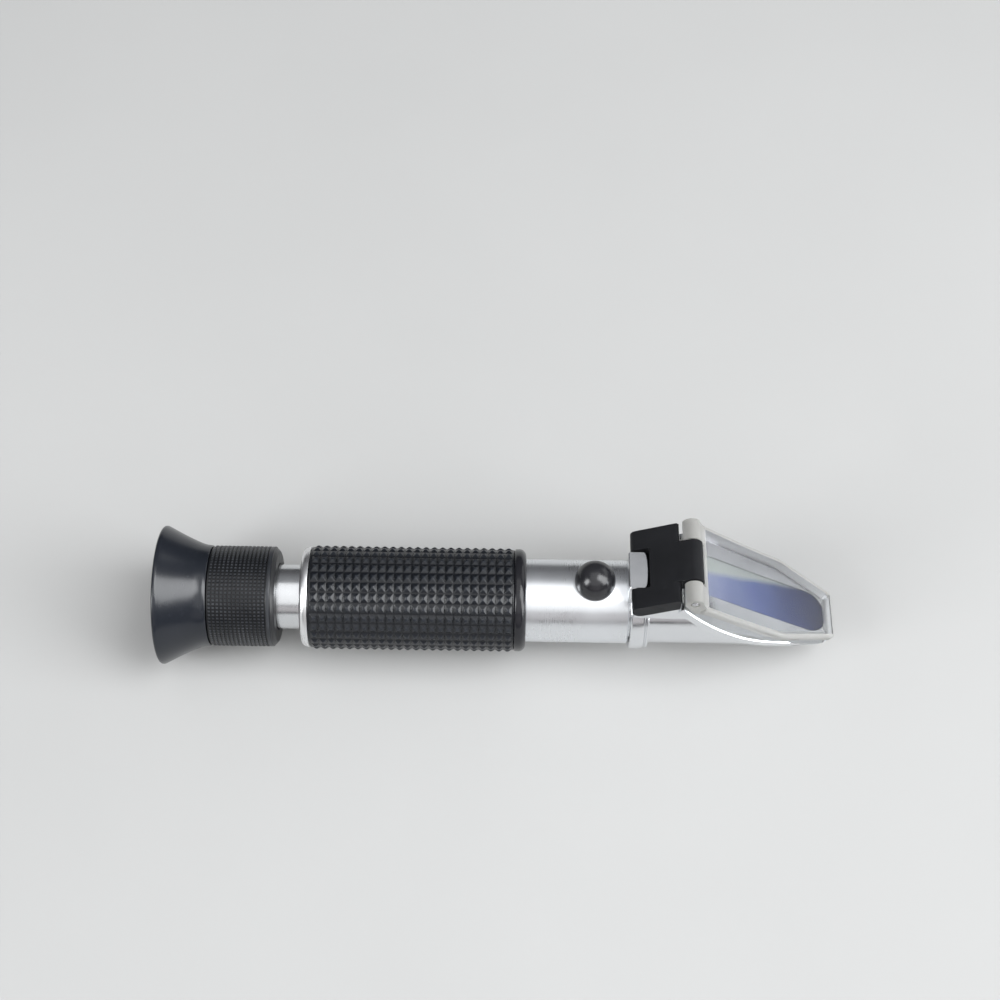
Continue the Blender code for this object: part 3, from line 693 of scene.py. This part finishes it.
EYECUP = eyecup_rubber()
GRIP = grip_rubber()
KNURL = knurled_black()
BRACKET = grained_black("bracket_satin_black", base=(0.0075, 0.0078, 0.0088),
                        roughness=(0.36, 0.48), specular=0.13)
INNER_BLACK = grained_black("inner_matt_black", base=(0.010, 0.010, 0.011), roughness=(0.55, 0.7))
END_RING = gloss_black()
CAP = cap_rubber()
TUBE = chrome("tube_satin_chrome", base=(0.82, 0.84, 0.865), roughness=0.30, turned=0.16)
EYETUBE = chrome("eyepiece_tube_chrome", base=(0.74, 0.755, 0.77), roughness=0.22, turned=0.25)
COLLAR = chrome("collar_satin_silver", base=(0.86, 0.865, 0.87), roughness=0.30, turned=0.3)
HOUSING = chrome("housing_chrome", base=(0.80, 0.815, 0.835), roughness=0.20, turned=0.12,
                 stretch=(1, 1, 1))
PRISM = prism_glass()
PLATE = plate_middle()
PLATE_EDGE = plate_edge()
PLATE_RELIEF = plate_relief()
STEEL = bare_metal("steel_screw", base=(0.58, 0.58, 0.60), roughness=0.25)
BRASS = bare_metal("brass_screw", base=(0.74, 0.54, 0.24), roughness=0.26)
ALUMINIUM = bare_metal("inner_aluminium_turned", base=(0.56, 0.57, 0.58), roughness=0.34)
GLASS = lens_glass()
SEAL = grained_black("seal_black_rubber", base=(0.014, 0.014, 0.015), roughness=(0.5, 0.65))


# ---------------------------------------------------------------- eyepiece end
# Profiles here and below are (x, radius).
def build_eyecup():
    outer = catmull([(1.7, 16.78), (3.4, 15.88), (5.4, 14.86), (7.6, 13.84), (9.4, 13.08),
                     (10.5, 12.76), (11.3, 12.62)], 4)
    bowl = catmull([(5.3, 9.45), (4.2, 10.6), (2.8, 12.3), (1.4, 14.2), (0.55, 15.3)], 4)
    profile = (
        [(0.0, 15.65), (0.0, 16.75), (0.16, 17.08), (0.45, 17.25), (0.85, 17.22), (1.25, 17.0)]
        + outer
        + [(12.05, 12.50), (12.22, 12.36), (12.22, 10.6), (6.95, 10.6), (6.95, 9.75),
           (6.6, 9.45), (5.7, 9.35)]
        + bowl + [(0.2, 15.5)])
    piece = new_object("eyecup_soft_shell", lathe(profile, 192))
    smooth(piece, 40)
    place(piece, "focus", EYECUP, "eyecup", "eyecup_rubber")


def build_focus_ring():
    head = [(14.2, 8.3), (14.2, 7.85), (7.25, 7.85), (7.25, 10.05), (7.4, 10.22),
            (12.3, 10.22), (12.3, 11.85), (12.42, 12.05), (12.6, 12.18)]
    tail = [(26.95, 12.22), (27.0, 12.42), (27.15, 12.46), (27.75, 12.46), (27.95, 12.38),
            (28.05, 12.1), (28.5, 11.75), (28.88, 11.3), (28.9, 11.1), (28.9, 8.5), (28.8, 8.3)]
    piece = new_object("focus_ring_knurled", cell_sleeve(
        rows=14, columns=84, span=(12.75, 26.85), radii=(12.18, 12.49), groove=0.13, tip=0.40,
        head=head, tail=tail))
    smooth(piece, 22)
    place(piece, "focus", KNURL, "focus_ring", "black_metal")


def build_eyepiece_tube():
    outer, root = 8.0, 7.78         # radii at the crest and root of the thread
    thread = []
    for i in range(7):              # last turns of the focusing thread
        x = 18.6 + i * 1.2
        thread += [(x, outer), (x + 0.25, root), (x + 0.55, root), (x + 0.8, outer)]
    profile = ([(17.7, 7.2), (17.7, 7.8), (17.9, outer)] + thread
               + [(28.6, outer), (38.2, outer), (38.2, 8.75), (38.3, 8.8), (43.3, 8.8),
                  (43.4, 8.7), (43.4, 7.2)])
    piece = new_object("eyepiece_tube_turned", lathe(profile, 160))
    combine(piece, ("DIFFERENCE", rod(0.95, -8.6, -6.6, 32, centre=(33.2, 0, 0))))
    smooth(piece, 30)
    place(piece, "instrument", EYETUBE, "eyepiece_tube", "chrome")


# ---------------------------------------------------------------- grip and body
def build_grip_collar():
    bore = 8.35
    nose = catmull([(34.92, 11.2), (35.05, 11.62), (35.35, 12.0), (35.8, 12.28),
                    (36.3, 12.41), (36.75, 12.44)], 4)
    piece = new_object("grip_collar_bezel", lathe(
        [(34.9, bore), (34.9, 10.9)] + nose + [(36.9, 12.35), (36.9, bore)], 192))
    smooth(piece, 40)
    place(piece, "instrument", COLLAR, "grip_collar", "chrome")


def build_grip():
    piece = new_object("rubber_grip_pyramids", cell_sleeve(
        rows=24, columns=30, span=(37.55, 87.05), radii=(12.46, 12.92), groove=0.05, tip=0.20,
        head=[(37.0, GRIP_BORE), (37.0, 12.2), (37.12, 12.42), (37.4, 12.50)],
        tail=[(87.2, 12.5), (87.4, 12.42), (87.46, 12.2), (87.46, GRIP_BORE)], phase=0.25))
    round_edges(piece, width=0.13, segments=2, angle=16.0)
    place(piece, "instrument", GRIP, "rubber_grip", "grip_rubber")


def build_end_ring():
    shoulder = catmull([(89.2, 12.70), (89.6, 12.5), (90.0, 12.15), (90.25, 11.8),
                        (90.38, 11.4)], 4)
    piece = new_object("grip_end_ring_gloss", lathe(
        [(87.48, GRIP_BORE), (87.48, 12.3), (87.6, 12.55), (87.9, 12.72), (88.3, 12.75),
         (88.9, 12.75)] + shoulder + [(90.4, 11.1), (90.4, GRIP_BORE)], 192))
    smooth(piece, 40)
    place(piece, "instrument", END_RING, "grip_end_ring", "gloss_black")


def build_body_tube():
    outer, bore = 10.3, 9.1
    piece = new_object("body_tube_satin", lathe(
        [(37.2, bore), (37.2, 10.2), (37.3, outer), (60.0, outer), (91.0, outer),
         (115.4, outer), (115.6, 10.15), (115.6, bore)], 224))
    combine(piece, ("DIFFERENCE", rod(2.9, 7.0, 11.5, 64, centre=(CAP_X, 0, 0))))
    smooth(piece, 30)
    place(piece, "instrument", TUBE, "body_tube", "chrome")


def build_cap():
    """A ball's upper part, seated on the tube, with a hollow collar below."""
    centre = (CAP_X, 0, 0)
    steps, undercut = 40, 0.62      # undercut: radians past the ball's widest
    dome = [(CAP_Z + CAP_RADIUS, 0.0)]
    for i in range(1, steps + 1):
        a = math.pi / 2 - (math.pi / 2 + undercut) * i / steps
        dome.append((CAP_Z + CAP_RADIUS * math.sin(a), CAP_RADIUS * math.cos(a)))
    dome.append((dome[-1][0], 0.0))
    piece = new_object("calibration_cap_dome", lathe(dome, 96, "Z", centre))
    collar = lathe([(9.75, 0), (9.75, 2.5), (9.85, 2.6), (12.6, 2.6), (12.6, 0)],
                   64, "Z", centre)
    combine(piece,
            ("DIFFERENCE", rod(10.42, CAP_X - 9, CAP_X + 9, 224, "X")),
            ("UNION", collar),
            ("DIFFERENCE", rod(2.2, 9.0, 12.2, 64, centre=centre)))
    smooth(piece, 35)
    place(piece, "cap", CAP, "calibration_cap", "cap_rubber")


# ---------------------------------------------------------------- prism housing
HOUSING_PROFILE = [
    (113.0, 7.4), (113.0, 8.7), (113.1, 8.8), (116.0, 8.8), (116.0, 11.2), (116.12, 11.42),
    (116.4, 11.58), (116.8, 11.6), (119.1, 11.6), (119.35, 11.5), (119.5, 11.25),
    (119.7, 11.12), (119.9, 11.2), (120.05, 11.42), (120.3, 11.5), (120.5, 11.38),
    (120.6, 11.1), (120.6, 10.0), (167.2, 10.0), (167.5, 9.85), (167.6, 9.6), (167.6, 0.0),
    (136.5, 0.0), (136.5, 7.4)]

# Edge of the flange round the prism face: (x, half width).
FLANGE_EDGE = [
    (127.9, 10.4), (129.6, 11.3), (132.0, 12.1), (135.0, 12.8), (138.5, 13.2), (142.0, 13.25),
    (145.5, 12.9), (149.0, 12.2), (153.0, 11.1), (157.0, 9.8), (161.0, 8.3), (164.5, 6.8),
    (166.6, 5.5), (167.6, 4.2)]
# Flange section: (inset from its edge, lift off the face).
FLANGE_SECTION = [(0.5, -2.55), (0.12, -2.35), (0.0, -2.0), (0.0, -0.55), (0.12, -0.18),
                  (0.42, -0.02), (0.44, 0.6)]

# Plan of the tower, (x, y) then corner radius, on the -y side up to the mid point.
TOWER_SIDE = [((114.95, -4.6), 0.3), ((115.25, -5.1), 0.3), ((118.9, -5.1), 0.5),
              ((119.45, -4.3), 2.0), ((119.72, -2.4), 6.0)]
TOWER_MIDDLE = ((119.8, 0.0), 6.0)
# Tower section: (inset, z).
TOWER_SECTION = [(0.0, 9.5), (0.0, 16.8), (0.08, 17.08), (0.30, 17.3)]


def flange_solid():
    outline = mirror(catmull([(slope_at(x), y) for x, y in FLANGE_EDGE], 5))
    return loft([[on_face(slope, y, lift) for slope, y in inset(outline, distance)]
                 for distance, lift in FLANGE_SECTION])


def tower_solid():
    other_side = [((x, -y), radius) for (x, y), radius in reversed(TOWER_SIDE)]
    points, _ = zip(*(TOWER_SIDE + [TOWER_MIDDLE] + other_side))
    radii = [0.3, 0.3, 0.5, 2.0, 6.0, 6.0, 6.0, 2.0, 0.5, 0.3, 0.3]
    plan = fillet(points, radii, 4)
    return loft([[(x, y, z) for x, y in inset(plan, distance)]
                 for distance, z in TOWER_SECTION])


def pocket_solid():
    """The prism's pocket: a slot with a sloping floor at its low-x end."""
    piece = new_object("cutter_pocket", extrude(slot_outline(132.8, 165.8, 5.4), "Z", -7.8, 30.0))
    side = [(130.0, 40.0), (130.0, 9.5), (132.9, 9.5), (136.4, 6.7), (136.4, -9.0),
            (170.0, -9.0), (170.0, 40.0)]
    combine(piece, ("INTERSECT", extrude(side, "Y", -10, 10)))
    return take_solid(piece)


def build_housing():
    piece = new_object("prism_housing_plated", lathe(HOUSING_PROFILE, 192))
    pedestal = fillet([(116.6, 8.6), (116.6, 12.3), (126.6, 16.85), (127.6, 17.2),
                       (139.0, face_z(139.0) - 0.4), (141.0, 8.0)],
                      [0.1, 0.4, 0.3, 0.1, 0.1, 0.1], 4)
    start, end, top = 127.75, 180.0, 40.0
    above = [(start, face_z(start)), (end, face_z(end)), (end, top), (start, top)]
    combine(piece,
            ("UNION", extrude(pedestal, "Y", -8.6, 8.6)),
            ("UNION", tower_solid()),
            ("UNION", flange_solid()),
            ("DIFFERENCE", extrude(above, "Y", -20, 20)),
            ("DIFFERENCE", pocket_solid()),
            *top_holes((5.0, 18.0), (9.2, 18.0)))
    smooth(piece, 26)
    place(piece, "instrument", HOUSING, "prism_housing", "chrome")


def build_prism():
    piece = new_object("measuring_prism_polished", extrude(
        slot_outline(PRISM_START, 165.58, 5.25), "Z", -9.0, 20.0))
    start, end, bottom = 132.5, 165.8, -7.65
    side = [(start, face_z(start)), (end, face_z(end)), (end, bottom), (136.9, bottom),
            (136.9, 6.9), (start, 10.28)]
    combine(piece, ("INTERSECT", extrude(side, "Y", -10, 10)))
    round_edges(piece, width=0.12, segments=2, angle=30)
    place(piece, "instrument", PRISM, "measuring_prism", "prism_glass")


# ---------------------------------------------------------------- hinge
def build_bracket():
    """Wide sloping strap with a knuckle round the pin, notched to clear the tower."""
    strap = ([(118.2, 13.52), (126.75, 17.45), (127.0, 18.0), (127.0, 21.2), (126.4, 21.75),
              (125.9, 21.6)] + arc(117.75, 15.6, 2.15, 118, 262, 24))
    radius, half_width = 2.5, 5.4
    knuckle = ([(124.5, 17.5), (127.0, 18.0), (HINGE_X, HINGE_Z - radius)]
               + arc(HINGE_X, HINGE_Z, radius, -80, 100, 28) + [(126.4, 22.1), (124.5, 20.9)])
    notch = fillet([(110.0, -half_width), (119.95, -half_width), (119.95, half_width),
                    (110.0, half_width)], [0, 0.6, 0.6, 0], 6)
    piece = new_object("hinge_bracket_satin", extrude(strap, "Y", -10.6, 10.6))
    combine(piece,
            ("UNION", extrude(knuckle, "Y", -half_width, half_width)),
            ("DIFFERENCE", extrude(notch, "Z", 10.0, 25.0)),
            pivot_hole(),
            *top_holes((10.0, 18.2), (10.0, 17.4)))
    round_edges(piece, width=0.22, segments=3, angle=35)
    place(piece, "instrument", BRACKET, "hinge_bracket", "black_metal")


def build_pin():
    end = [(11.2, 0), (11.2, 0.45), (11.12, 0.68), (10.98, 0.80), (10.8, 0.85)]
    profile = [(-y, radius) for y, radius in end] + end[::-1]
    piece = new_object("hinge_pin_turned", lathe(profile, 48, "Y", (HINGE_X, 0, HINGE_Z)))
    smooth(piece, 50)
    place(piece, "instrument", STEEL, "hinge_pin", "steel")


# ---------------------------------------------------------------- daylight plate
(PLATE_X, HINGE_HALF), (SHOULDER_X, SHOULDER_HALF), (TIP_X, TIP_HALF) = PLATE_PLAN
PLATE_START, PLATE_END = slope_at(PLATE_X), slope_at(TIP_X)


def plate_flat(slope):
    return 0.0


def plate_low(slope):
    """Height of the relieved lower edge."""
    u = (slope - slope_at(132.0)) / (slope_at(149.0) - slope_at(132.0))
    u = min(max(u, 0.0), 1.0)
    return 0.85 + 1.40 * (1.0 - u * u * (3.0 - 2.0 * u))


def plate_top(slope):
    """The plate is moulded thicker towards the hinge."""
    u = min(max((slope - PLATE_START) / (PLATE_END - PLATE_START), 0.0), 1.0)
    return 2.85 + 1.85 * (1.0 - u) ** 2.5


# Loops of the plate, bottom to top: (inset, height it follows, offset from that height).
PLATE_LOOPS = [
    (2.2, plate_flat, 0.30), (0.10, plate_low, 0.0), (0.0, plate_low, 0.12),
    (0.0, plate_top, -0.55), (0.06, plate_top, -0.40), (0.16, plate_top, -0.29),
    (0.46, plate_top, -0.04), (0.58, plate_top, 0.0), (1.05, plate_top, 0.0)]


def plate_loop(distance):
    """The plate's outline drawn in, its corners rounded to match, with points
    k and -1-k always opposite each other."""
    steps, side_parts = 10, 16
    outline = mirror([(slope_at(x), y) for x, y in PLATE_PLAN])
    radii = [max(radius - distance, 0.25) for radius in (0.7, 9.0, 1.4, 1.4, 9.0, 0.7)]
    rounded = fillet(inset(outline, distance), radii, steps)
    half = rounded[:len(rounded) // 2]
    # Extra points divide the long side between the first two corners.
    start, end = half[steps], half[steps + 1]
    side = [(start[0] + (end[0] - start[0]) * k / side_parts,
             start[1] + (end[1] - start[1]) * k / side_parts) for k in range(1, side_parts)]
    return mirror(half[:steps + 1] + side + half[steps + 1:])


def plate_solid():
    loops = [[on_face(slope, y, height(slope) + offset) for slope, y in plate_loop(distance)]
             for distance, height, offset in PLATE_LOOPS]
    mesh = loft(loops, cap_end=False)
    # The curved top is closed by strips straight across.
    last = list(mesh.verts)[-len(loops[-1]):]
    for k in range(len(last) // 2 - 1):
        mesh.faces.new((last[k], last[k + 1], last[-2 - k], last[-1 - k]))
    return mesh


def finish_plate_faces(piece):
    """Frosted middle (slot 0), moulded edge (1) and relieved underside edge (2)."""
    for face in piece.data.polygons:
        centre = face.center
        slope = (((centre.x - RIM_X) * MM_PER_M - FACE_X) * DOWN_X
                 + ((centre.z - AXIS_Z) * MM_PER_M - FACE_Z) * DOWN_Z)
        x = FACE_X + slope * DOWN_X
        if x < SHOULDER_X:
            share = (x - PLATE_X) / (SHOULDER_X - PLATE_X)
            half_width = HINGE_HALF - (HINGE_HALF - SHOULDER_HALF) * share
        else:
            share = (x - SHOULDER_X) / (TIP_X - SHOULDER_X)
            half_width = SHOULDER_HALF - (SHOULDER_HALF - TIP_HALF) * share
        inside = (PLATE_START + 0.75 < slope < PLATE_END - 0.8
                  and abs(centre.y) * MM_PER_M < half_width - 1.03)
        down = -(face.normal.x * NORMAL_X + face.normal.z * NORMAL_Z)
        if down > 0.15 and slope > PLATE_START + 0.5:
            face.material_index = 0 if down > 0.97 else 2
        else:
            face.material_index = 0 if abs(down) > 0.97 and inside else 1


def build_plate():
    piece = new_object("daylight_plate_acrylic", plate_solid())
    lug = ([above_face(PLATE_X + 0.9, 1.3), above_face(PLATE_X - 0.5, 1.1)]
           + arc(HINGE_X, HINGE_Z, 2.2, 205, 24, 40)
           + [above_face(PLATE_X - 0.9, 5.42), above_face(PLATE_X + 0.1, 4.85),
              above_face(PLATE_X + 0.9, 4.45)])
    inner, outer = 5.75, 11.2
    combine(piece,
            ("UNION", extrude(lug, "Y", inner, outer)),
            ("UNION", extrude(lug, "Y", -outer, -inner)),
            pivot_hole())
    round_edges(piece, width=0.30, segments=4, angle=40)
    place(piece, "plate", PLATE, "daylight_plate", "plate_acrylic")
    piece.data.materials.append(PLATE_EDGE)
    piece.data.materials.append(PLATE_RELIEF)
    finish_plate_faces(piece)


# ---------------------------------------------------------------- inner CAD pieces
def finish_inner_pieces():
    """Inner pieces keep their CAD shape and take the finish of their slot."""
    finishes = {
        "inner_aluminium": ALUMINIUM, "glass": GLASS, "black_metal": INNER_BLACK,
        "steel": STEEL, "brass": BRASS, "seal_rubber": SEAL, "chrome": TUBE,
        "gloss_black": END_RING, "grip_rubber": GRIP, "eyecup_rubber": EYECUP,
        "cap_rubber": CAP, "prism_glass": PRISM, "plate_acrylic": PLATE}
    for part in frame["record"]["subparts"]:
        piece = frame["nodes"].get(part["node"])
        if piece is None:
            continue
        material = finishes[part["material_slot"]]
        slots = piece.data.materials
        if not slots:
            slots.append(material)
        for i in range(len(slots)):
            slots[i] = material
        smooth(piece, 35)


for build in (build_eyecup, build_focus_ring, build_eyepiece_tube, build_grip_collar,
              build_grip, build_end_ring, build_body_tube, build_cap, build_housing,
              build_prism, build_bracket, build_pin, build_plate, finish_inner_pieces):
    build()

# ---------------------------------------------------------------- camera, in metres
ELEVATION, ROLL = math.radians(60.0), math.radians(0.903)
DISTANCE, RISE = 0.430, 0.024965    # back from the aim point, and up in the picture plane
AIM = world_point(84.0, 0, 0)
FORWARD = Vector((0, math.cos(ELEVATION), -math.sin(ELEVATION)))
level_right = Vector((1, 0, 0))
level_up = Vector((0, math.sin(ELEVATION), math.cos(ELEVATION)))
RIGHT = math.cos(ROLL) * level_right + math.sin(ROLL) * level_up
UP = -math.sin(ROLL) * level_right + math.cos(ROLL) * level_up


def add_camera():
    data = bpy.data.cameras.new("photo_camera")
    data.sensor_width = 36.0
    data.lens = 61.92
    data.clip_start = 0.01
    data.clip_end = 20.0
    camera = bpy.data.objects.new("photo_camera", data)
    bpy.context.scene.collection.objects.link(camera)
    spot = AIM + UP * RISE - FORWARD * DISTANCE
    rows = [(RIGHT[i], UP[i], -FORWARD[i], spot[i]) for i in range(3)]
    camera.matrix_world = Matrix((*rows, (0, 0, 0, 1)))
    bpy.context.scene.camera = camera


# ---------------------------------------------------------------- light
# Each softbox is placed by where it would reflect, (across, up), in a unit ball facing
# the camera: name, across, up, distance m, width m, height m, watts, colour.
SOFTBOXES = [
    ("softbox_left", -0.42, -0.04, 1.1, 0.40, 0.60, 7.5, (0.97, 0.985, 1.0)),
    ("softbox_right", 0.45, 0.03, 1.1, 0.70, 2.10, 31.0, (0.97, 0.985, 1.0)),
    ("softbox_top", 0.0, 0.11, 1.6, 1.8, 2.6, 13.5, (1.0, 1.0, 1.0)),
    ("softbox_front", 0.0, -0.36, 1.5, 1.6, 0.55, 1.3, (1.0, 0.95, 0.95)),
    ("softbox_side", 0.55, 0.42, 1.3, 0.9, 0.8, 2.2, (0.98, 1.0, 1.0))]


def add_softbox(name, across, up, distance, width, height, power, colour):
    facing = math.sqrt(1 - across * across - up * up)
    normal = (RIGHT * across + UP * up - FORWARD * facing).normalized()
    view = -FORWARD
    direction = (2 * normal.dot(view) * normal - view).normalized()
    data = bpy.data.lights.new(name, "AREA")
    data.shape = "RECTANGLE"
    data.size = width
    data.size_y = height
    data.energy = power
    data.color = colour
    light = bpy.data.objects.new(name, data)
    bpy.context.scene.collection.objects.link(light)
    light.location = AIM + direction * distance
    light.rotation_euler = (-direction).to_track_quat("-Z", "Y").to_euler()


def add_world():
    """Grey surround, brighter overhead."""
    world = bpy.data.worlds.new("studio")
    bpy.context.scene.world = world
    world.use_nodes = True
    nodes, links = world.node_tree.nodes, world.node_tree.links
    background = nodes["Background"]
    background.inputs["Strength"].default_value = 0.60
    coords = nodes.new("ShaderNodeTexCoord")
    split = nodes.new("ShaderNodeSeparateXYZ")
    ramp = nodes.new("ShaderNodeValToRGB")
    height = nodes.new("ShaderNodeMapRange")
    height.inputs["From Min"].default_value = -1.0
    height.inputs["From Max"].default_value = 1.0
    links.new(coords.outputs["Generated"], split.inputs[0])
    links.new(split.outputs["Z"], height.inputs[0])
    links.new(height.outputs[0], ramp.inputs["Fac"])
    links.new(ramp.outputs["Color"], background.inputs["Color"])
    stops = ramp.color_ramp.elements
    stops[0].position = 0.48
    stops[0].color = (0.10, 0.10, 0.105, 1)
    stops[1].position = 1.0
    stops[1].color = (0.55, 0.56, 0.58, 1)
    stops.new(0.70).color = (0.20, 0.20, 0.21, 1)


# ---------------------------------------------------------------- pale floor
def add_floor():
    mat = Finish("pale_floor", roughness=0.75, specular=0.2)
    material = mat.wire(mat.ramp(mat.noise(scale=6, detail=4), stops=[
        (0.3, (0.40, 0.40, 0.395)), (0.7, (0.42, 0.42, 0.415))]))
    mesh = bmesh.new()
    bmesh.ops.create_grid(mesh, x_segments=2, y_segments=2, size=3.0)
    data = bpy.data.meshes.new("studio_floor")
    mesh.to_mesh(data)
    mesh.free()
    floor = bpy.data.objects.new("studio_floor", data)
    gap = 0.0003    # metres below the lowest CAD point
    floor.location = (0, 0, CAD_BOX[0][2] - gap)
    floor.data.materials.append(material)
    bpy.context.scene.collection.objects.link(floor)


add_camera()
for softbox in SOFTBOXES:
    add_softbox(*softbox)
add_world()
add_floor()

bpy.context.scene.view_settings.view_transform = "Standard"
bpy.context.view_layer.update()
